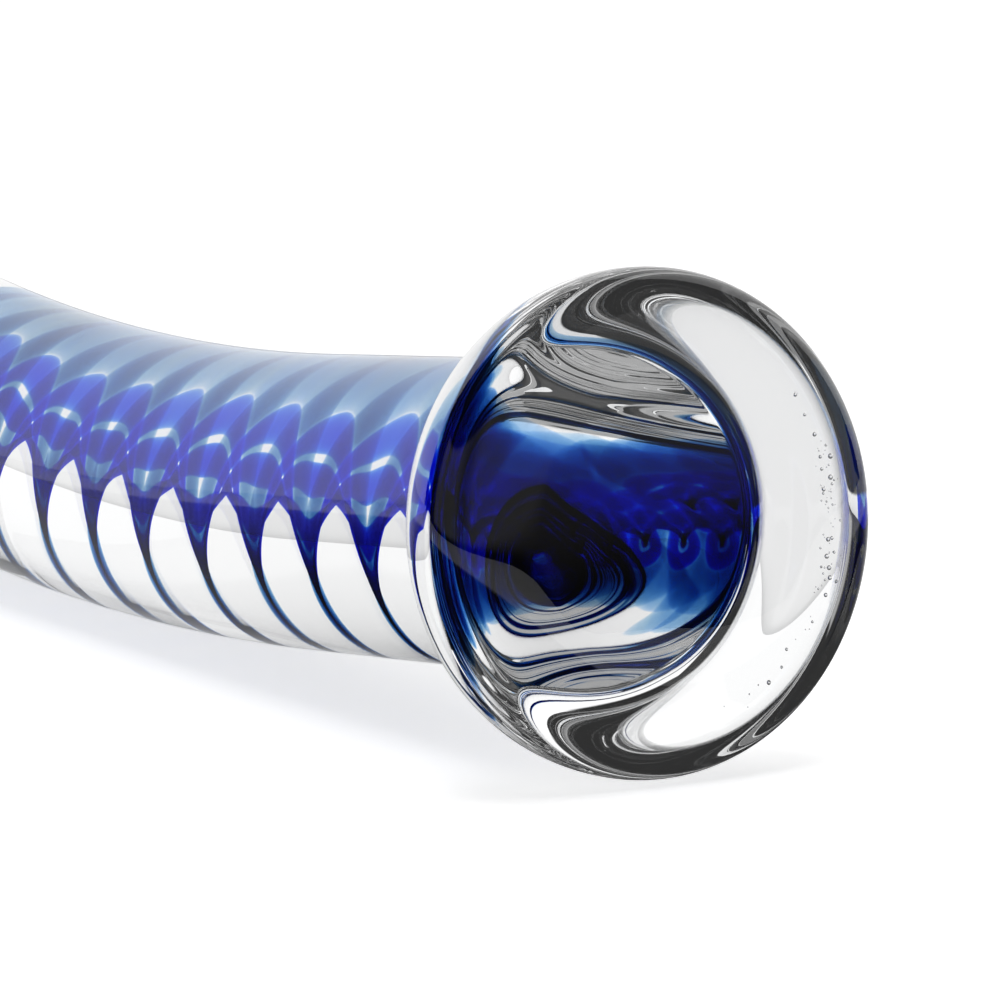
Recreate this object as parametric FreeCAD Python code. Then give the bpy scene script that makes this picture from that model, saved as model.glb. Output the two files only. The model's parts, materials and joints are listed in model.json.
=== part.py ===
import FreeCAD, Part
import math
import os

from FreeCAD import Vector

# Curved wand of solid glass: a flared round foot and a twisted blue ribbon cased inside the shaft.
#
# It is modelled on its own axis first. The rim's middle plane is at X = 0, the shaft runs towards
# -X and bends towards +Z. Then it is laid down the way it rests on a table, on the foot's rim and
# the belly of the shaft, and its box is centred over the origin. Units are millimetres.

# Foot: a face, flat in its middle, that rounds off to the rim's widest place, then a back that
# runs down into the shaft. Both curves are cubic Beziers; a pull is the length of one handle.
FOOT_RADIUS = 27.0
FACE_RADIUS = 16.0
FACE_DEPTH = 5.4
FACE_PULL = 8.0
RIM_FRONT_PULL = 3.5
RIM_BACK_PULL = 12.0
NECK_PULL = 9.0
NECK_LENGTH = 17.0

# Shaft: round, straight near the foot, then one long bend up to a round tip
SHAFT_RADIUS = 17.1
STRAIGHT_LENGTH = 69.0
BEND_RADIUS = 510.0
SHAFT_LENGTH = 170.0

# Ribbon: a flat strip through the middle of the shaft, twisted left-handed. Its strands lie side
# by side and mirror each other about the clear centre thread. Each is named with its outer edge,
# as a fraction of the ribbon's half width.
RIBBON_HALF_WIDTH = 9.2
RIBBON_THICKNESS = 0.8
TWIST_LEAD = 26.7
TWIST_PHASE = 120.0
CENTRE_THREAD_EDGE = 0.05
SIDE_STRANDS = (
    ("inner_dark_strand", 0.23),
    ("clear_thread", 0.27),
    ("outer_dark_strand", 0.48),
    ("pale_strand", 1.0),
)
SECTIONS_PER_TURN = 16

ORIGIN = Vector(0, 0, 0)
SIDEWAYS = Vector(0, -1, 0)
HALF_THICKNESS = RIBBON_THICKNESS / 2
FLUSH_HALF_WIDTH = math.sqrt(RIBBON_HALF_WIDTH ** 2 - HALF_THICKNESS ** 2)


def spine(distance):
    """Point on the shaft's centre line, its direction, and the unit vector towards the bend."""
    turn = max(0.0, distance - STRAIGHT_LENGTH) / BEND_RADIUS
    along = min(distance, STRAIGHT_LENGTH) + BEND_RADIUS * math.sin(turn)
    point = Vector(-along, 0, BEND_RADIUS * (1 - math.cos(turn)))
    direction = Vector(-math.cos(turn), 0, math.sin(turn))
    inward = Vector(math.sin(turn), 0, math.cos(turn))
    return point, direction, inward


def ribbon_frame(distance):
    """A function that turns (across the ribbon, out of its flat) into a point of that section."""
    point, _, inward = spine(distance)
    angle = math.radians(TWIST_PHASE - 360 * distance / TWIST_LEAD)
    across = SIDEWAYS * math.cos(angle) + inward * math.sin(angle)
    out = inward * math.cos(angle) - SIDEWAYS * math.sin(angle)
    return lambda u, v: point + across * u + out * v


def closed_wire(curves):
    """One closed outline from curves that follow each other."""
    return Part.Wire([curve.toShape() for curve in curves])


def strand_outline(at, low, high):
    """Cross-section of one strand of the ribbon, rounded where it meets the casing."""
    left = max(low * RIBBON_HALF_WIDTH, -FLUSH_HALF_WIDTH)
    right = min(high * RIBBON_HALF_WIDTH, FLUSH_HALF_WIDTH)
    corners = (
        at(left, -HALF_THICKNESS),
        at(right, -HALF_THICKNESS),
        at(right, HALF_THICKNESS),
        at(left, HALF_THICKNESS),
    )
    right_side = Part.LineSegment(corners[1], corners[2])
    left_side = Part.LineSegment(corners[3], corners[0])
    if high == 1.0:
        right_side = Part.Arc(corners[1], at(RIBBON_HALF_WIDTH, 0), corners[2])
    if low == -1.0:
        left_side = Part.Arc(corners[3], at(-RIBBON_HALF_WIDTH, 0), corners[0])
    bottom = Part.LineSegment(corners[0], corners[1])
    top = Part.LineSegment(corners[2], corners[3])
    return closed_wire((bottom, right_side, top, left_side))


def half_round_outline(at, side):
    """Cross-section of the clear half-round cane on one side of the ribbon; side is 1 or -1."""
    flat = HALF_THICKNESS * side
    ends = at(-FLUSH_HALF_WIDTH, flat), at(FLUSH_HALF_WIDTH, flat)
    back = Part.Arc(ends[1], at(0, RIBBON_HALF_WIDTH * side), ends[0])
    return closed_wire((Part.LineSegment(*ends), back))


def twisted(outline, *details):
    """Solid through evenly spaced copies of a cross-section, from the neck to the shaft's end."""
    length = SHAFT_LENGTH - NECK_LENGTH
    steps = math.ceil(length / TWIST_LEAD * SECTIONS_PER_TURN)
    stations = (NECK_LENGTH + length * step / steps for step in range(steps + 1))
    return Part.makeLoft([outline(ribbon_frame(station), *details) for station in stations], True)


def casing():
    """Clear tube round the ribbon's canes: a straight stretch, then one bend."""
    start, direction, _ = spine(NECK_LENGTH)
    bend_start, _, inward = spine(STRAIGHT_LENGTH)

    def disc(radius):
        return Part.Face(Part.Wire(Part.Circle(start, direction, radius).toShape()))

    section = disc(SHAFT_RADIUS).cut(disc(RIBBON_HALF_WIDTH)).Faces[0]
    straight = section.extrude(bend_start - start)
    section.translate(bend_start - start)
    turn = math.degrees((SHAFT_LENGTH - STRAIGHT_LENGTH) / BEND_RADIUS)
    bend = section.revolve(bend_start + inward * BEND_RADIUS, Vector(0, 1, 0), turn)
    return straight.fuse(bend).Solids[0]


def rim_curve(*poles):
    """Bezier curve through the XZ plane, from poles given as (distance from the rim, radius)."""
    curve = Part.BezierCurve()
    curve.setPoles([Vector(-distance, 0, radius) for distance, radius in poles])
    return curve


def foot_back():
    """The foot's outline from the rim's widest place to the shaft."""
    return rim_curve(
        (0, FOOT_RADIUS),
        (RIM_BACK_PULL, FOOT_RADIUS),
        (NECK_LENGTH - NECK_PULL, SHAFT_RADIUS),
        (NECK_LENGTH, SHAFT_RADIUS),
    )


def foot():
    """Face, rim and neck as one turned solid, cut square where the cased ribbon begins."""
    front = rim_curve(
        (-FACE_DEPTH, FACE_RADIUS),
        (-FACE_DEPTH, FACE_RADIUS + FACE_PULL),
        (-RIM_FRONT_PULL, FOOT_RADIUS),
        (0, FOOT_RADIUS),
    )
    back = foot_back()
    face_centre = Vector(FACE_DEPTH, 0, 0)
    neck_end = Vector(-NECK_LENGTH, 0, 0)
    profile = (
        Part.LineSegment(face_centre, front.StartPoint),
        front,
        back,
        Part.LineSegment(back.EndPoint, neck_end),
        Part.LineSegment(neck_end, face_centre),
    )
    return Part.Face(closed_wire(profile)).revolve(ORIGIN, Vector(1, 0, 0), 360)


def tip():
    """Half ball that closes the shaft's far end."""
    end, direction, _ = spine(SHAFT_LENGTH)
    return Part.makeSphere(SHAFT_RADIUS, end, direction, 0, 90, 360)


def glass_pieces():
    """Every piece by name, on the wand's own axis."""
    pieces = {"foot": foot(), "casing": casing(), "tip": tip()}
    for name, side in (("clear_cane_upper", 1), ("clear_cane_lower", -1)):
        pieces[name] = twisted(half_round_outline, side)
    pieces["centre_thread"] = twisted(strand_outline, -CENTRE_THREAD_EDGE, CENTRE_THREAD_EDGE)
    inner_edge = CENTRE_THREAD_EDGE
    for name, outer_edge in SIDE_STRANDS:
        pieces[name + "_a"] = twisted(strand_outline, inner_edge, outer_edge)
        pieces[name + "_b"] = twisted(strand_outline, -outer_edge, -inner_edge)
        inner_edge = outer_edge
    return pieces


def resting_tilt():
    """Angle, in radians, by which the shaft dips so that the rim and the belly touch one plane."""
    outline = foot_back().toShape().discretize(2000)

    def shortfall(tilt):
        rim = max(point.z * math.cos(tilt) - point.x * math.sin(tilt) for point in outline)
        belly = STRAIGHT_LENGTH * math.sin(tilt) + BEND_RADIUS * (1 - math.cos(tilt)) + SHAFT_RADIUS
        return rim - belly

    low, high = 0.0, 0.5
    for _ in range(40):
        middle = (low + high) / 2
        low, high = (middle, high) if shortfall(middle) > 0 else (low, middle)
    return low


def main():
    os.makedirs("parts", exist_ok=True)
    tilt = resting_tilt()
    pieces = glass_pieces()
    for shape in pieces.values():
        shape.rotate(ORIGIN, Vector(0, 1, 0), -math.degrees(tilt))
    outside = Part.makeCompound([pieces["foot"], pieces["casing"], pieces["tip"]])
    box = outside.optimalBoundingBox(False)
    to_origin = Vector(-box.Center.x, -box.Center.y, -box.ZMin)
    print(f"tilt {math.degrees(tilt):.3f} deg, moved by {to_origin}")
    print(f"overall {box.XLength:.2f} x {box.YLength:.2f} x {box.ZLength:.2f}")
    for name, shape in pieces.items():
        shape.translate(to_origin)
        shape.exportStep(f"parts/{name}.step")
        print(f"{name}: valid {shape.isValid()}, volume {shape.Volume:.1f}")


main()
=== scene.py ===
import json
import math

import bpy
import numpy as np
from bpy.props import FloatProperty, FloatVectorProperty, IntProperty, PointerProperty
from mathutils import Matrix, Vector


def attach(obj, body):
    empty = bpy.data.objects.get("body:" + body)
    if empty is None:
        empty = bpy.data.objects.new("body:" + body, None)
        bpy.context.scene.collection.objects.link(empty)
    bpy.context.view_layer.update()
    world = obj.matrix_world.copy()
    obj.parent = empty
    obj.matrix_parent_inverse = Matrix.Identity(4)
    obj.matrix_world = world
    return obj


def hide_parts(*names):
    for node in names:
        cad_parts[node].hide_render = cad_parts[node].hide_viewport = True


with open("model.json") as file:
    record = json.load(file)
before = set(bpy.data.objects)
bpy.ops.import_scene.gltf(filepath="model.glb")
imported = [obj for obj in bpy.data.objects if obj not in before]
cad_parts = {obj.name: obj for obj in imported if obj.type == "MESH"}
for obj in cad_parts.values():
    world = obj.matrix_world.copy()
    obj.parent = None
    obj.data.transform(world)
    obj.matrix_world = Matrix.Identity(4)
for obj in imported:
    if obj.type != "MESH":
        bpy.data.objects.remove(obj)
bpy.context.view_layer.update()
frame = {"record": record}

bl_info = {
    "name": "Twisted ribbon glass wand",
    "version": (1, 0, 0),
    "blender": (4, 5, 0),
    "location": "3D View > Sidebar > Glass wand",
    "description": "Builds a curved wand of clear glass with a twisted blue ribbon inside",
    "category": "Add Mesh",
}

CLEAR_NODES = (
    "foot", "casing", "tip", "clear_cane_upper", "clear_cane_lower",
    "centre_thread", "clear_thread_a", "clear_thread_b",
)
# Strands on one side of the ribbon: CAD name, inner and outer edge in half widths, dark or pale
STRANDS = (
    ("inner_dark_strand", 0.05, 0.23, True),
    ("outer_dark_strand", 0.27, 0.48, True),
    ("pale_strand", 0.48, 1.0, False),
)
FOOT_MOUNT = next(mount for mount in frame["record"]["mounts"] if mount["name"] == "foot_face")

# Bubbles: their mean place along the axis from the rim's widest place, less than 0 towards the
# face, and how far they stray from it, in metres; how far they stray from the arc, of its radius
SEED = 7
BUBBLE_PLACE = -0.0010
BUBBLE_STRAY = 0.0012
BUBBLE_ARC_STRAY = 0.022
# Angle above level where the bubbles are thickest, the scale of their spread along the arc, and
# the ends of the arc, in degrees; the share that lies above, and the spread above and below
BUBBLE_MIDDLE = 8
BUBBLE_SPREAD = 26
BUBBLE_LOWEST = -80
BUBBLE_HIGHEST = 35
SHARE_ABOVE = 0.3
SPREAD_ABOVE = 0.5
SPREAD_BELOW = 0.9
# Power that makes small bubbles more common than large ones
BUBBLE_BIAS = 2.2

# Camera: azimuth from -y towards +x and elevation, in degrees; distance and offsets from the
# rim's middle, in metres; lens and sensor, in millimetres; how far it sees, in metres
CAMERA_AZIMUTH = 59.4
CAMERA_ELEVATION = 9.0
CAMERA_AWAY = 0.63
CAMERA_LEFT = 0.01544
CAMERA_UP = 0.00246
CAMERA_LENS = 216.0
CAMERA_SENSOR = 36.0
CAMERA_RANGE = 50.0

# Studio light by direction. Half widths and the front light's ends are in degrees from straight
# behind the wand, and tops in degrees above the horizon. Softness is half the width of an edge.
PANEL_HALF_WIDTH = 60.0
PANEL_TOP = 30.0
PANEL_LIGHT = 1.05
SOFTBOX_TOP = 62.0
SOFTBOX_LIGHT = 1.1
FRONT_FROM = 100.0
FRONT_TO = 179.9
FRONT_FROM_SOFTNESS = 0.08
FRONT_TO_SOFTNESS = 0.05
FRONT_BOTTOM = 0.02
FRONT_LIGHT = 0.35
ROOM_LIGHT = 0.03
EDGE_SOFTNESS = 0.02

# Light over the table, in metres and watts
OVERHEAD_HEIGHT = 1.2
OVERHEAD_SIZE = 0.8
OVERHEAD_POWER = 5.5

# Table: white, glowing evenly as painted light that keeps it white. Only the glass sees it in
# painted shade: darker, and black in a disc round the foot, open in a wedge behind it.
TABLE_HALF_SIZE = 4.0
TABLE_GLOW = 0.72
# Painted black disc: its black, radius and soft edge, painted shade that only the glass sees
PAINTED_DISC_BLACK = 0.03
PAINTED_DISC_RADIUS = 0.3
PAINTED_DISC_SOFTNESS = 0.03
WEDGE_HALF_WIDTH = 55.0
WEDGE_FRONT = -0.03
WEDGE_SOFTNESS = 0.3
# How white the glass sees the table outside the disc: painted shade, darker than the camera sees
# it
PAINTED_TABLE_SHADE_LEVEL = 0.68

# Mesh: points along the face, rim, neck, shaft and tip of the outline, and the angle where the
# tip's arc stops short of the axis, in radians
FACE_POINTS = 12
RIM_POINTS = 70
NECK_POINTS = 110
SHAFT_POINTS = 230
TIP_POINTS = 48
TIP_END = 0.02
# Mesh: columns round the wand, rows to one turn of the ribbon, points round a strand, and the
# rows and columns of one bubble
BODY_COLUMNS = 160
TURN_ROWS = 72
STRAND_POINTS = 20
BALL_ROWS = 7
BALL_COLUMNS = 12

GLASS_IOR = 1.5
LIGHT_BOUNCES = 64


class Spine:
    """The wand's centre line: straight from the foot, then one bend that rises to the tip."""

    def __init__(self, sizes):
        self.sizes = sizes
        outward = np.array(FOOT_MOUNT["axis"])
        self.along = -outward
        self.inward = np.array([-outward[2], 0.0, outward[0]])
        self.sideways = np.array([0.0, -1.0, 0.0])
        self.start = np.array(FOOT_MOUNT["pos_m"]) - outward * sizes.face_depth

    def place(self, distance, u, v):
        """Points at u sideways and v inward of the centre line, at these distances from the rim.

        The centre line runs straight, then turns by (distance past the straight) / bend radius.
        """
        sizes = self.sizes
        turn = np.maximum(0.0, distance - sizes.straight_length) / sizes.bend_radius
        run = np.minimum(distance, sizes.straight_length) + sizes.bend_radius * np.sin(turn)
        rise = sizes.bend_radius * (1 - np.cos(turn)) + v * np.cos(turn)
        run = run - v * np.sin(turn)
        return (
            self.start
            + run[..., None] * self.along
            + rise[..., None] * self.inward
            + u[..., None] * self.sideways
        )


def mesh_from_grid(name, points, close_ends=False):
    """One closed object from a (rows, columns, 3) grid whose columns wrap round.

    With close_ends each end row is joined to one point at its middle.
    """
    rows, columns, _ = points.shape
    vertices = points.reshape(-1, 3)
    row, column = np.meshgrid(np.arange(rows - 1), np.arange(columns), indexing="ij")
    beside = (column + 1) % columns
    faces = np.stack(
        (row * columns + column, row * columns + beside,
         (row + 1) * columns + beside, (row + 1) * columns + column), axis=-1).reshape(-1, 4)
    loops = [faces.reshape(-1)]
    sizes = [np.full(len(faces), 4)]
    if close_ends:
        ends = np.stack((points[0].mean(0), points[-1].mean(0)))
        around = np.arange(columns)
        nearby = (around + 1) % columns
        first = len(vertices)
        vertices = np.concatenate((vertices, ends))
        last_row = (rows - 1) * columns
        foot_fan = np.stack((nearby, around, np.full(columns, first)), axis=-1)
        tip_fan = np.stack(
            (last_row + around, last_row + nearby, np.full(columns, first + 1)), axis=-1)
        loops += [foot_fan.reshape(-1), tip_fan.reshape(-1)]
        sizes += [np.full(2 * columns, 3)]
    return mesh_object(name, vertices, np.concatenate(loops), np.concatenate(sizes))


def mesh_object(name, vertices, loops, sizes):
    """Smooth-shaded object from arrays of vertices, corner indices and corners per face."""
    mesh = bpy.data.meshes.new(name)
    mesh.vertices.add(len(vertices))
    mesh.vertices.foreach_set("co", np.ascontiguousarray(vertices, dtype=np.float32).reshape(-1))
    mesh.loops.add(len(loops))
    mesh.loops.foreach_set("vertex_index", loops.astype(np.int32))
    mesh.polygons.add(len(sizes))
    starts = np.concatenate(([0], np.cumsum(sizes)[:-1]))
    mesh.polygons.foreach_set("loop_start", starts.astype(np.int32))
    mesh.polygons.foreach_set("use_smooth", np.ones(len(sizes), dtype=bool))
    mesh.update(calc_edges=True)
    mesh.validate()
    piece = bpy.data.objects.new(name, mesh)
    bpy.context.scene.collection.objects.link(piece)
    return piece


def arc(centre, radius, start, stop, count):
    """(distance, radius) pairs along a circular arc; angles in radians from the wand's axis."""
    angle = np.linspace(start, stop, count)
    return centre[0] + radius * np.cos(angle), centre[1] + radius * np.sin(angle)


class Value:
    """Wraps a socket so that shader maths can be written as an expression."""

    def __init__(self, tree, socket):
        self.tree = tree
        self.socket = socket

    def _math(self, operation, *values):
        return self.tree.node("ShaderNodeMath", {"operation": operation}, *values)

    def __add__(self, other):
        return self._math("ADD", self, other)

    __radd__ = __add__

    def __mul__(self, other):
        return self._math("MULTIPLY", self, other)

    __rmul__ = __mul__

    def __sub__(self, other):
        return self._math("SUBTRACT", self, other)

    def __rsub__(self, other):
        return self._math("SUBTRACT", other, self)

    def __truediv__(self, other):
        return self._math("DIVIDE", self, other)

    def __pow__(self, other):
        return self._math("POWER", self, other)


class Tree:
    """The node tree of a material or a world, with one method that adds any node."""

    def __init__(self, owner):
        self.owner = owner
        owner.use_nodes = True
        self.nodes = owner.node_tree.nodes
        self.links = owner.node_tree.links
        self.nodes.clear()

    def add(self, kind, settings=None, *values, **named):
        """A node of this type: settings first, then the values or links of its sockets."""
        node = self.nodes.new(kind)
        for key, setting in (settings or {}).items():
            if key == "stops":
                self._set_stops(node.color_ramp, setting)
            else:
                setattr(node, key, setting)
        for index, value in list(enumerate(values)) + list(named.items()):
            self._feed(self._socket(node.inputs, index), value)
        return node

    def node(self, kind, settings=None, *values, out=0, **named):
        """The same, wrapped as a value of its output."""
        return Value(self, self._socket(self.add(kind, settings, *values, **named).outputs, out))

    @staticmethod
    def _socket(sockets, key):
        """A socket by number, by name with _ for spaces, or by identifier where names repeat."""
        if isinstance(key, int):
            return sockets[key]
        spaced = key.replace("_", " ")
        return next(each for each in sockets if spaced == each.name or key == each.identifier)

    def _feed(self, socket, value):
        if isinstance(value, Value):
            self.links.new(value.socket, socket)
        elif value is not None:
            socket.default_value = value

    @staticmethod
    def _set_stops(ramp, stops):
        while len(ramp.elements) < len(stops):
            ramp.elements.new(1.0)
        for element, (position, colour) in zip(ramp.elements, stops):
            element.position = position
            element.color = (*colour, 1.0)

    def finish(self, surface, volume=None):
        """Joins the last shaders to the owner's output."""
        kind = "World" if isinstance(self.owner, bpy.types.World) else "Material"
        output = self.nodes.new(f"ShaderNodeOutput{kind}")
        self.links.new(surface.outputs[0], output.inputs["Surface"])
        if volume is not None:
            self.links.new(volume.outputs[0], output.inputs["Volume"])
        return self.owner

    def behind(self, direction, half_width, softness):
        """1 where a direction points away from the camera within this many degrees, else 0."""
        parts = self.add("ShaderNodeSeparateXYZ", None, direction)
        x, y = (Value(self, parts.outputs[axis]) for axis in (0, 1))
        azimuth = math.radians(CAMERA_AZIMUTH)
        towards = (x * -math.sin(azimuth) + y * math.cos(azimuth)) / (x * x + y * y) ** 0.5
        return self.rises(towards, math.cos(math.radians(half_width)), softness)

    def rises(self, value, edge, softness):
        """Smooth step from 0 to 1 where the value passes the edge."""
        return self.node("ShaderNodeMapRange", {"interpolation_type": "SMOOTHSTEP"}, value,
                         edge - softness, edge + softness, 0.0, 1.0)


def speckle(tree, place, scale, detail, low, high, span=(0.3, 0.7)):
    """A colour that drifts between low and high with a noise over Object coordinates."""
    cloud = tree.node("ShaderNodeTexNoise", None, Vector=place, Scale=scale, Detail=detail)
    stops = ((span[0], low), (span[1], high))
    return tree.node("ShaderNodeValToRGB", {"stops": stops}, cloud)


def clear_glass():
    """Fire-polished clear glass: faint waves in the surface and a trace of tint."""
    tree = Tree(bpy.data.materials.new("clear_glass"))
    place = tree.node("ShaderNodeTexCoord", out="Object")
    tint = speckle(tree, place, 60.0, 2.0, (0.985, 0.992, 0.995), (0.995, 0.997, 1.0))
    waves = tree.node("ShaderNodeTexNoise", None, Vector=place, Scale=45.0, Detail=1.0)
    bump = tree.node("ShaderNodeBump", None, Strength=0.02, Distance=0.002, Height=waves)
    shader = tree.add(
        "ShaderNodeBsdfPrincipled", None, Base_Color=tint, Roughness=0.0, IOR=GLASS_IOR,
        Transmission_Weight=1.0, Normal=bump)
    return tree.finish(shader)


def trapped_air():
    """Air inside the glass: bends light the other way round, with a trace of haze."""
    tree = Tree(bpy.data.materials.new("trapped_air"))
    place = tree.node("ShaderNodeTexCoord", out="Object")
    tint = speckle(tree, place, 900.0, 1.0, (0.96, 0.97, 0.98), (1.0, 1.0, 1.0))
    shader = tree.add("ShaderNodeBsdfPrincipled", None, Base_Color=tint, Roughness=0.0,
                      IOR=1 / GLASS_IOR, Transmission_Weight=1.0)
    return tree.finish(shader)


def ribbon_glass(name, density, colour):
    """Coloured glass fused inside the clear: it bends no light, it only takes colour out of it."""
    tree = Tree(bpy.data.materials.new(name))
    place = tree.node("ShaderNodeTexCoord", out="Object")
    tint = speckle(tree, place, 220.0, 3.0, (0.75, 0.85, 1.0), (1.0, 1.0, 1.0), (0.35, 0.65))
    shader = tree.add(
        "ShaderNodeBsdfPrincipled", None, Base_Color=tint, Roughness=0.0, IOR=1.0,
        Transmission_Weight=1.0)
    volume = tree.add("ShaderNodeVolumeAbsorption", None, Color=(*colour, 1.0), Density=density)
    return tree.finish(shader, volume)


def paper_white_glow_and_painted_shade(apex):
    """Matt white table, glowing evenly as painted light. The glass sees painted shade in it:
    darker, black in a disc round the foot, open behind the apex.
    """
    tree = Tree(bpy.data.materials.new("table_white"))
    place = tree.node("ShaderNodeTexCoord", out="Object")
    tint = speckle(tree, place, 900.0, 2.0, (0.90, 0.90, 0.90), (0.92, 0.92, 0.92))
    away = tree.node("ShaderNodeVectorMath", {"operation": "SUBTRACT"}, place, tuple(apex))
    seen = tree.node("ShaderNodeLightPath", None, out="Is Camera Ray")
    distance = tree.node("ShaderNodeVectorMath", {"operation": "LENGTH"}, away, out="Value")
    far = tree.rises(distance, PAINTED_DISC_RADIUS, PAINTED_DISC_SOFTNESS)
    behind = tree.behind(away, WEDGE_HALF_WIDTH, WEDGE_SOFTNESS)
    # Painted shade: rays other than the camera's see the table darker, and black in a disc round
    # the foot save in the wedge behind it
    painted_shade_mix = seen + (1 - seen) * (far + (1 - far) * behind) * PAINTED_TABLE_SHADE_LEVEL
    painted_disc_black = (PAINTED_DISC_BLACK, PAINTED_DISC_BLACK, PAINTED_DISC_BLACK, 1.0)
    painted_table_colour = tree.node("ShaderNodeMix", {"data_type": "RGBA"}, Factor_Float=painted_shade_mix,
                    A_Color=painted_disc_black, B_Color=tint, out="Result_Color")
    # The table glows evenly: painted light that keeps it white; the glow carries the painted shade
    # too
    shader = tree.add("ShaderNodeBsdfPrincipled", None, Base_Color=painted_table_colour, Roughness=1.0,
                      Specular_IOR_Level=0.0, Emission_Color=painted_table_colour, Emission_Strength=TABLE_GLOW)
    return tree.finish(shader)


def studio_world():
    """Dim room: a lit backdrop and a softbox behind the wand, a weak light before it.

    The camera itself sees plain white.
    """
    tree = Tree(bpy.data.worlds.new("studio"))
    direction = tree.node("ShaderNodeTexCoord", out="Generated")
    parts = tree.add("ShaderNodeSeparateXYZ", None, direction)
    z = Value(tree, parts.outputs[2])
    width = tree.behind(direction, PANEL_HALF_WIDTH, EDGE_SOFTNESS)
    above = tree.rises(z, math.sin(math.radians(PANEL_TOP)), EDGE_SOFTNESS)
    top = tree.rises(z, math.sin(math.radians(SOFTBOX_TOP)), EDGE_SOFTNESS)
    nearer = 1 - tree.behind(direction, FRONT_FROM, FRONT_FROM_SOFTNESS)
    front = nearer * tree.behind(direction, FRONT_TO, FRONT_TO_SOFTNESS)
    front = front * (1 - above) * tree.rises(z, FRONT_BOTTOM, EDGE_SOFTNESS)
    back = width * ((1 - above) * PANEL_LIGHT + above * (1 - top) * SOFTBOX_LIGHT)
    light = front * FRONT_LIGHT + back + ROOM_LIGHT
    seen = tree.node("ShaderNodeLightPath", None, out="Is Camera Ray")
    level = seen + (1 - seen) * light
    shader = tree.add("ShaderNodeBackground", None, Color=(1, 1, 1, 1), Strength=level)
    return tree.finish(shader)


class WandSizes(bpy.types.PropertyGroup):
    """Sizes of the glass, in metres."""

    foot_radius: FloatProperty(name="Foot radius", description="Outside radius of the foot",
                               default=0.027, unit="LENGTH")
    face_depth: FloatProperty(name="Face depth", description="Face to the rim's widest place",
                              default=0.0054, unit="LENGTH")
    face_radius: FloatProperty(name="Face radius", description="Radius of the face's flat middle",
                               default=0.016, unit="LENGTH")
    rim_pull_face: FloatProperty(name="Rim pull, face", description="Rim's handle on the face",
                                 default=0.008, unit="LENGTH")
    rim_pull_front: FloatProperty(name="Rim pull, front", description="Front handle of the rim",
                                  default=0.0035, unit="LENGTH")
    rim_pull_back: FloatProperty(name="Rim pull, back", description="Back handle of the rim",
                                 default=0.012, unit="LENGTH")
    neck_length: FloatProperty(name="Neck length", description="Rim's middle to the neck's end",
                               default=0.017, unit="LENGTH")
    neck_pull: FloatProperty(name="Neck pull", description="Handle where the neck meets the shaft",
                             default=0.009, unit="LENGTH")
    shaft_radius: FloatProperty(name="Shaft radius", description="Outside radius of the shaft",
                                default=0.0171, unit="LENGTH")
    straight_length: FloatProperty(name="Straight length", description="Rim's middle to the bend",
                                   default=0.069, unit="LENGTH")
    bend_radius: FloatProperty(name="Bend radius", description="Radius of the shaft's bend",
                               default=0.510, unit="LENGTH")
    shaft_length: FloatProperty(name="Shaft length", description="Rim's middle to the round tip",
                                default=0.170, unit="LENGTH")


class RibbonSizes(bpy.types.PropertyGroup):
    """Sizes of the twisted ribbon."""

    half_width: FloatProperty(name="Half width", description="Centre line to the ribbon's edge",
                              default=0.0092, unit="LENGTH")
    thickness: FloatProperty(name="Thickness", description="Ribbon's thickness at its middle",
                             default=0.0006, unit="LENGTH")
    lead: FloatProperty(name="Lead", description="Length of one full turn of the twist",
                        default=0.0267, unit="LENGTH")
    phase: FloatProperty(name="Phase", description="Ribbon's angle at the foot",
                         default=math.radians(120), subtype="ANGLE")
    wander: FloatProperty(name="Wander", description="How much the strands wander, of half width",
                          default=0.06, min=0.0, max=0.2)
    start: FloatProperty(name="Start", description="Rim's middle to the ribbon's first end",
                         default=0.017, unit="LENGTH")


class RibbonColours(bpy.types.PropertyGroup):
    """Colours of the strands: what each lets through, and how strongly it takes the rest."""

    dark: FloatVectorProperty(name="Dark strands", description="Colour the dark strands keep",
                              default=(0.05, 0.50, 0.950), subtype="COLOR", min=0, max=1)
    dark_density: FloatProperty(name="Dark density", description="Absorption per metre",
                                default=10500.0, min=0)
    pale: FloatVectorProperty(name="Pale strands", description="Colour the pale strands keep",
                              default=(0.10, 0.50, 0.76), subtype="COLOR", min=0, max=1)
    pale_density: FloatProperty(name="Pale density", description="Absorption per metre",
                                default=5000.0, min=0)


class BubbleSizes(bpy.types.PropertyGroup):
    """Sizes of the seed bubbles in the foot."""

    count: IntProperty(name="Count", description="How many bubbles", default=85, min=1)
    reach: FloatProperty(name="Reach", description="Centre line to the bubbles' arc",
                         default=0.0213, unit="LENGTH")
    smallest: FloatProperty(name="Smallest", description="Radius of the smallest bubble",
                            default=0.00006, unit="LENGTH")
    largest: FloatProperty(name="Largest", description="Radius of the largest bubble",
                           default=0.00032, unit="LENGTH")


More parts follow.
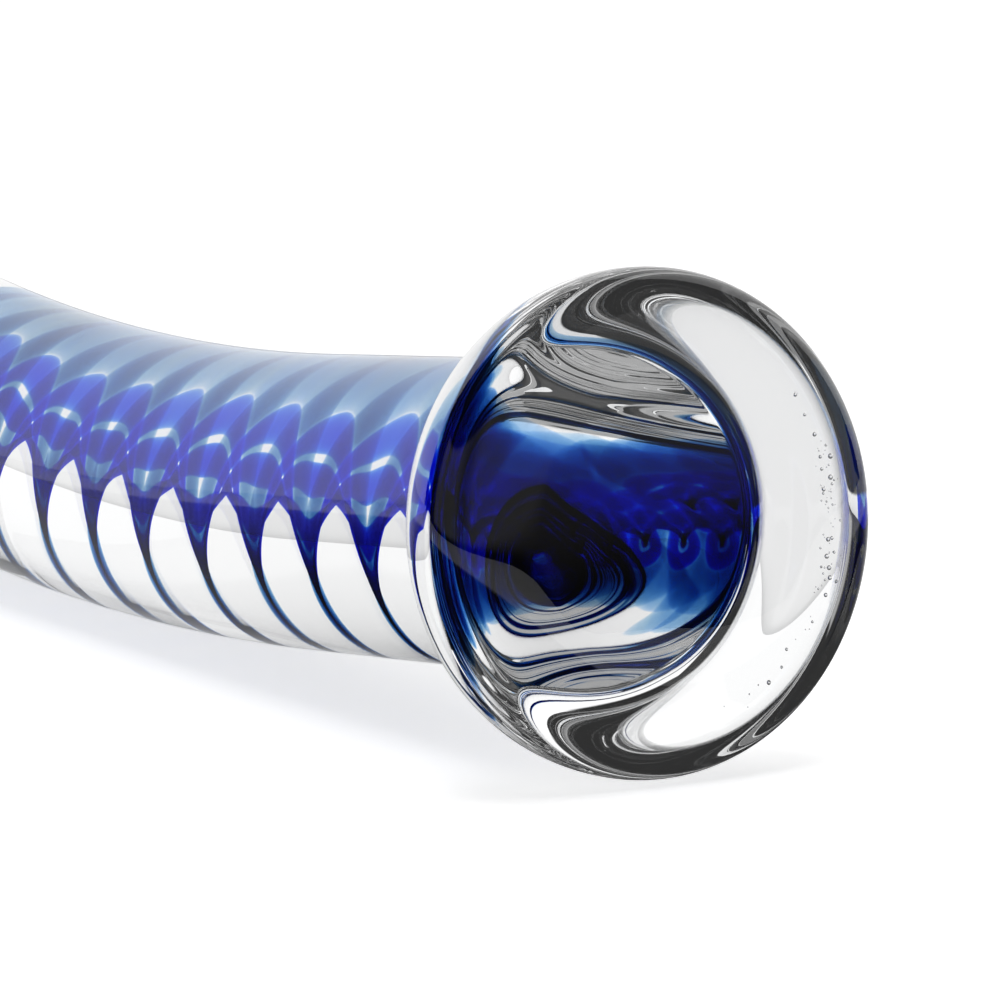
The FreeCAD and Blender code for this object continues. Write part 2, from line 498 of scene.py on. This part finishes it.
def skin_profile(sizes):
    """(distance, radius) of the outside from the face's middle to the tip.

    Flat face, then two cubic Bezier curves that meet at the rim's widest place: one rounds the
    face off, the other runs down the back of the foot into the shaft. Straight shaft, half-round
    tip.
    """
    flat = np.array((-sizes.face_depth, sizes.face_radius))
    widest = np.array((0.0, sizes.foot_radius))
    joins = np.array((sizes.neck_length, sizes.shaft_radius))
    along, out = np.array((1.0, 0.0)), np.array((0.0, 1.0))
    face = flat[1] * np.linspace(0, 1, FACE_POINTS)[1:]
    parts = (
        (np.full(len(face), flat[0]), face),
        bezier(flat, flat + out * sizes.rim_pull_face,
               widest - along * sizes.rim_pull_front, widest, RIM_POINTS),
        bezier(widest, widest + along * sizes.rim_pull_back,
               joins - along * sizes.neck_pull, joins, NECK_POINTS),
        (np.linspace(sizes.neck_length, sizes.shaft_length, SHAFT_POINTS),
         np.full(SHAFT_POINTS, sizes.shaft_radius)),
        arc((sizes.shaft_length, 0.0), sizes.shaft_radius, math.pi / 2, TIP_END, TIP_POINTS),
    )
    distance = np.concatenate([part[0][(index > 0):] for index, part in enumerate(parts)])
    radius = np.concatenate([part[1][(index > 0):] for index, part in enumerate(parts)])
    return distance, radius


def bezier(start, start_pull, end_pull, end, count):
    """Points of a cubic Bezier curve: its four corners weighted by the cubic Bernstein terms."""
    t = np.linspace(0, 1, count)
    corners = (start, start_pull, end_pull, end)
    weights = ((1 - t) ** 3, 3 * t * (1 - t) ** 2, 3 * t ** 2 * (1 - t), t ** 3)
    return tuple(sum(w * corner[axis] for w, corner in zip(weights, corners)) for axis in (0, 1))


def clear_body(sizes):
    """The clear glass as one skin: the profile's radius swung round the bent centre line."""
    distance, radius = skin_profile(sizes)
    around = np.linspace(0, 2 * math.pi, BODY_COLUMNS, endpoint=False)
    s = np.broadcast_to(distance[:, None], (len(distance), BODY_COLUMNS))
    reach = radius[:, None]
    points = Spine(sizes).place(s, reach * np.cos(around), reach * np.sin(around))
    return mesh_from_grid("clear_glass_body", points, close_ends=True)


def strand(name, sizes, ribbon, low, high):
    """One strand of the ribbon: a flat lens-shaped section between two edges, twisted as it runs.

    Across the ribbon u goes from low to high and back, out of it v is half the thickness times
    the square root of one minus the square of the place between the edges. Sines of the distance
    make the twist, the edges between strands and the thickness wander, as drawn glass does.
    """
    length = sizes.shaft_length - ribbon.start
    rows = int(length / ribbon.lead * TURN_ROWS)
    s = np.linspace(ribbon.start, sizes.shaft_length, rows)[:, None]
    ring = np.linspace(0, 2 * math.pi, STRAND_POINTS, endpoint=False)[None, :]
    wave = 2 * math.pi * s / ribbon.lead
    sway = ribbon.wander * (0.6 * np.sin(1.37 * wave + 0.7) + 0.4 * np.sin(3.1 * wave + 2.0))
    left, right = (edge + sway * (1 - edge ** 2) for edge in (low, high))
    u = ribbon.half_width * ((left + right) / 2 + (right - left) / 2 * np.cos(ring))
    swell = 1 + 3 * ribbon.wander * np.sin(0.73 * wave + 1.0) * np.cos(2.3 * wave)
    v = ribbon.thickness / 2 * swell * np.sin(ring)
    angle = ribbon.phase - wave + 1.5 * ribbon.wander * np.sin(0.61 * wave)
    points = Spine(sizes).place(
        s + 0 * ring, u * np.cos(angle) - v * np.sin(angle), u * np.sin(angle) + v * np.cos(angle))
    return mesh_from_grid(name, points, close_ends=True)


def seed_bubbles(sizes, bubbles):
    """Small air balls on an arc inside the foot, thickest at the side and thinning downwards.

    Each is a turned half circle, closed at two poles. The angle round the foot is an exponential
    draw, taken up or down from the thickest place. A ball's radius comes from a power of an even
    draw, so most are small.
    """
    chance = np.random.default_rng(SEED)
    count = bubbles.count
    spread = chance.exponential(1.0, count)
    fall = np.where(chance.random(count) < SHARE_ABOVE, -SPREAD_ABOVE, SPREAD_BELOW)
    angle = np.radians(BUBBLE_MIDDLE - BUBBLE_SPREAD * spread * fall)
    angle = np.clip(angle, math.radians(BUBBLE_LOWEST), math.radians(BUBBLE_HIGHEST))
    reach = bubbles.reach * (1 + BUBBLE_ARC_STRAY * chance.standard_normal(count))
    deep = BUBBLE_PLACE + BUBBLE_STRAY * chance.standard_normal(count)
    share = chance.random(count) ** BUBBLE_BIAS
    ball = bubbles.smallest * (bubbles.largest / bubbles.smallest) ** share
    centres = Spine(sizes).place(deep, -reach * np.cos(angle), reach * np.sin(angle))
    polar = np.linspace(0, math.pi, BALL_ROWS + 2)[1:-1, None]
    around = np.linspace(0, 2 * math.pi, BALL_COLUMNS, endpoint=False)[None, :]
    unit = np.stack((np.sin(polar) * np.cos(around), np.sin(polar) * np.sin(around),
                     np.cos(polar) + 0 * around), axis=-1).reshape(-1, 3)
    unit = np.concatenate((unit, ((0, 0, 1.0), (0, 0, -1.0))))
    vertices = centres[:, None] + ball[:, None, None] * unit
    row, column = np.meshgrid(
        np.arange(BALL_ROWS - 1), np.arange(BALL_COLUMNS), indexing="ij")
    here, below = row * BALL_COLUMNS, (row + 1) * BALL_COLUMNS
    beside = (column + 1) % BALL_COLUMNS
    quads = np.stack((here + column, below + column, below + beside, here + beside), axis=-1)
    ring = np.arange(BALL_COLUMNS)
    nearby = (ring + 1) % BALL_COLUMNS
    last = (BALL_ROWS - 1) * BALL_COLUMNS
    poles = np.full((2, BALL_COLUMNS), len(unit) - 2) + np.array(((0,), (1,)))
    top = np.stack((poles[0], ring, nearby), axis=-1)
    bottom = np.stack((poles[1], last + nearby, last + ring), axis=-1)
    corners = np.concatenate([faces.reshape(-1) for faces in (quads, top, bottom)])
    loops = (np.arange(bubbles.count)[:, None] * len(unit) + corners).reshape(-1)
    sides = np.concatenate((np.full(quads.size // 4, 4), np.full(2 * BALL_COLUMNS, 3)))
    sides = np.tile(sides, bubbles.count)
    vertices = vertices.reshape(-1, 3)
    return mesh_object("seed_bubbles", vertices, loops, sides)


class WAND_OT_bubbles(bpy.types.Operator):
    """Build the seed bubbles in the foot"""

    bl_idname = "wand.bubbles"
    bl_label = "Seed bubbles"

    def execute(self, context):
        piece = seed_bubbles(context.scene.wand_sizes, context.scene.wand_bubbles)
        piece.data.materials.append(trapped_air())
        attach(piece, "root")
        return {"FINISHED"}


class WAND_OT_body(bpy.types.Operator):
    """Build the clear glass: foot, neck, shaft and tip"""

    bl_idname = "wand.body"
    bl_label = "Clear glass"

    def execute(self, context):
        piece = clear_body(context.scene.wand_sizes)
        piece.data.materials.append(clear_glass())
        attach(piece, "root")
        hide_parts(*CLEAR_NODES)
        return {"FINISHED"}


class WAND_OT_ribbon(bpy.types.Operator):
    """Build the blue strands of the twisted ribbon"""

    bl_idname = "wand.ribbon"
    bl_label = "Twisted ribbon"

    def execute(self, context):
        sizes, ribbon = context.scene.wand_sizes, context.scene.wand_ribbon
        colours = context.scene.wand_colours
        dark = ribbon_glass("dark_blue_glass", colours.dark_density, colours.dark)
        pale = ribbon_glass("pale_blue_glass", colours.pale_density, colours.pale)
        for node, low, high, is_dark in STRANDS:
            for side, sign in (("a", 1), ("b", -1)):
                inner, outer = sorted((sign * low, sign * high))
                piece = strand(f"{node}_{side}_glass", sizes, ribbon, inner, outer)
                piece.data.materials.append(dark if is_dark else pale)
                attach(piece, "root")
                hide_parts(f"{node}_{side}")
        return {"FINISHED"}


class WAND_OT_stage(bpy.types.Operator):
    """Set the table, the light and the camera"""

    bl_idname = "wand.stage"
    bl_label = "Table, light and camera"

    def execute(self, context):
        scene = context.scene
        azimuth = math.radians(CAMERA_AZIMUTH)
        front = np.array((math.sin(azimuth), -math.cos(azimuth), 0.0))
        foot = Spine(context.scene.wand_sizes).start * (1, 1, 0)
        corners = np.array([(-1, -1, 0), (1, -1, 0), (1, 1, 0), (-1, 1, 0)]) * TABLE_HALF_SIZE
        table = mesh_object("table", corners, np.arange(4), np.array([4]))
        table.data.materials.append(paper_white_glow_and_painted_shade(foot + front * WEDGE_FRONT))
        scene.world = studio_world()
        self.overhead(scene)
        self.camera(scene)
        scene.view_settings.view_transform = "Standard"
        for kind in ("max", "transmission", "glossy", "transparent_max"):
            setattr(scene.cycles, kind + "_bounces", LIGHT_BOUNCES)
        return {"FINISHED"}

    def overhead(self, scene):
        """A soft light over the shaft that lights the table only, for the contact shadow."""
        data = bpy.data.lights.new("overhead", "AREA")
        data.size = OVERHEAD_SIZE
        data.energy = OVERHEAD_POWER
        light = bpy.data.objects.new("overhead", data)
        light.location = (0.0, 0.0, OVERHEAD_HEIGHT)
        light.visible_camera = light.visible_glossy = light.visible_transmission = False
        scene.collection.objects.link(light)

    def camera(self, scene):
        """A long lens low over the table, looking at the foot's face from one side."""
        sizes = scene.wand_sizes
        spine = Spine(sizes)
        azimuth, elevation = math.radians(CAMERA_AZIMUTH), math.radians(CAMERA_ELEVATION)
        back = Vector((math.sin(azimuth) * math.cos(elevation),
                       -math.cos(azimuth) * math.cos(elevation), math.sin(elevation)))
        right = Vector((math.cos(azimuth), math.sin(azimuth), 0))
        up = back.cross(right)
        eye = Vector(spine.start) + back * CAMERA_AWAY - right * CAMERA_LEFT + up * CAMERA_UP
        data = bpy.data.cameras.new("camera")
        data.lens = CAMERA_LENS
        data.sensor_width = CAMERA_SENSOR
        data.clip_end = CAMERA_RANGE
        camera = bpy.data.objects.new("camera", data)
        facing = Matrix((right, up, back)).transposed().to_4x4()
        camera.matrix_world = Matrix.Translation(eye) @ facing
        scene.collection.objects.link(camera)
        scene.camera = camera


class WAND_PT_panel(bpy.types.Panel):
    """Lists the wand's steps and sizes"""

    bl_label = "Glass wand"
    bl_idname = "WAND_PT_panel"
    bl_space_type = "VIEW_3D"
    bl_region_type = "UI"
    bl_category = "Glass wand"

    def draw(self, context):
        for step in STEPS:
            self.layout.operator(step.bl_idname)
        for name in GROUPS:
            group = getattr(context.scene, name)
            for prop in group.__annotations__:
                self.layout.prop(group, prop)


STEPS = (WAND_OT_body, WAND_OT_ribbon, WAND_OT_bubbles, WAND_OT_stage)
GROUPS = {
    "wand_sizes": WandSizes,
    "wand_ribbon": RibbonSizes,
    "wand_colours": RibbonColours,
    "wand_bubbles": BubbleSizes,
}
CLASSES = (*GROUPS.values(), *STEPS, WAND_PT_panel)


def register():
    for cls in CLASSES:
        bpy.utils.register_class(cls)
    for name, group in GROUPS.items():
        setattr(bpy.types.Scene, name, PointerProperty(type=group))


def unregister():
    for name in GROUPS:
        delattr(bpy.types.Scene, name)
    for cls in reversed(CLASSES):
        bpy.utils.unregister_class(cls)


def main():
    register()
    for step in STEPS:
        group, name = step.bl_idname.split(".")
        getattr(getattr(bpy.ops, group), name)()


if __name__ == "__main__":
    main()
